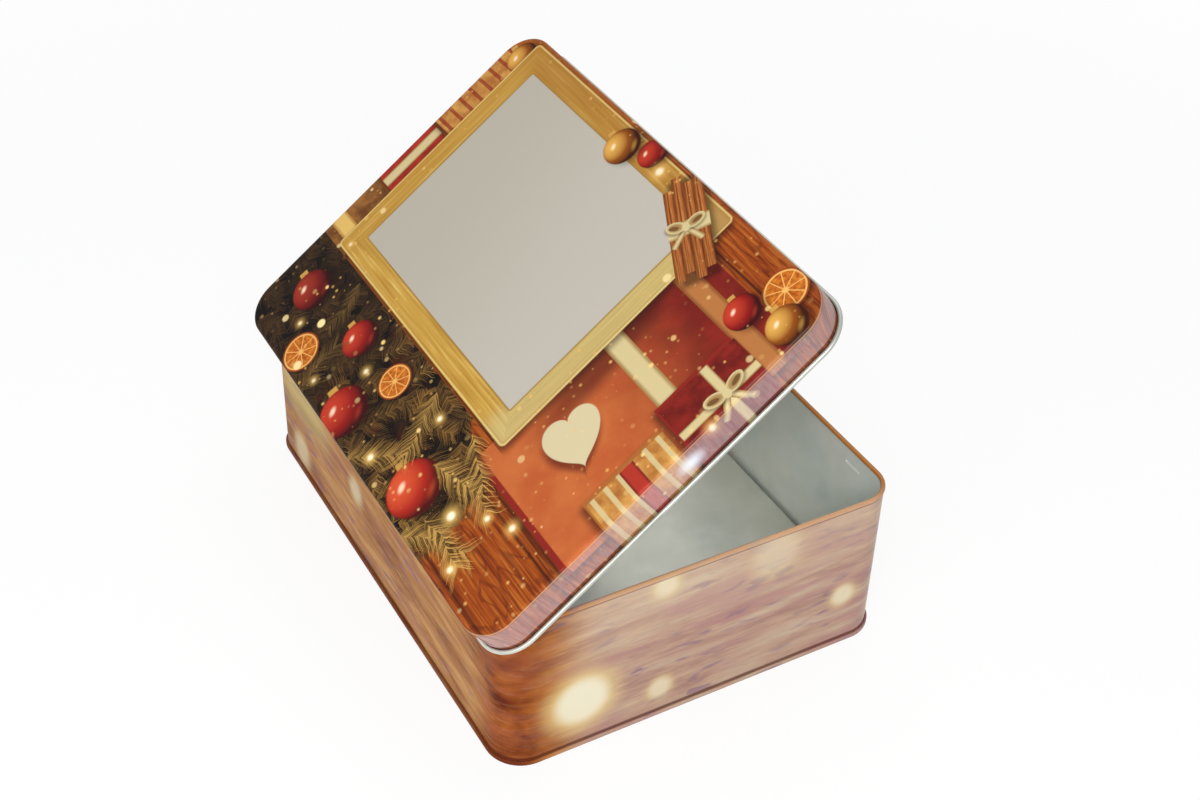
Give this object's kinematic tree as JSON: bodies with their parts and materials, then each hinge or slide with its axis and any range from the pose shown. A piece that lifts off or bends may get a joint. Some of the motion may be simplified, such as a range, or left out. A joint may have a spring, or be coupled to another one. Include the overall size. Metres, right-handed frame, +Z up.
{
  "type": "hinged gift tin",
  "caption": "Rectangular printed tinplate gift tin with rounded corners, a curled rim, a raised bottom and a hinged lid that stands part open over the bare metal inside.",
  "frame": {"origin": "middle of the underside of the overall box, with the lid standing part open", "axes": "+Z up; +Y along the long sides and the hinge, towards the back in the usual view; the hinge is on the -X side"},
  "size_m": [0.2126, 0.2752, 0.2053],
  "materials": {
    "printed_wall": "blurred wood-grain print under satin varnish outside, bare tinplate inside",
    "printed_lid": "seasonal print with a pale blank panel in a gold frame under gloss varnish, bare curled edge",
    "bare_tinplate": "soft bright tinplate",
    "hinge_steel": "plain bright steel"
  },
  "bodies": {
    "tin": {"body_wall": "printed_wall", "bottom_panel": "bare_tinplate", "hinge_leaf_front": "hinge_steel", "hinge_leaf_back": "hinge_steel", "hinge_wire_front": "hinge_steel", "hinge_wire_back": "hinge_steel"},
    "lid": {"lid": "printed_lid"}
  },
  "joints": [
    {"name": "lid_hinge", "type": "hinge", "parent": "tin", "child": "lid", "pos_m": [-0.09742, 0, 0.06815], "axis": [0, -1, 0], "range_deg": [-37.5, 67.5]}
  ]
}
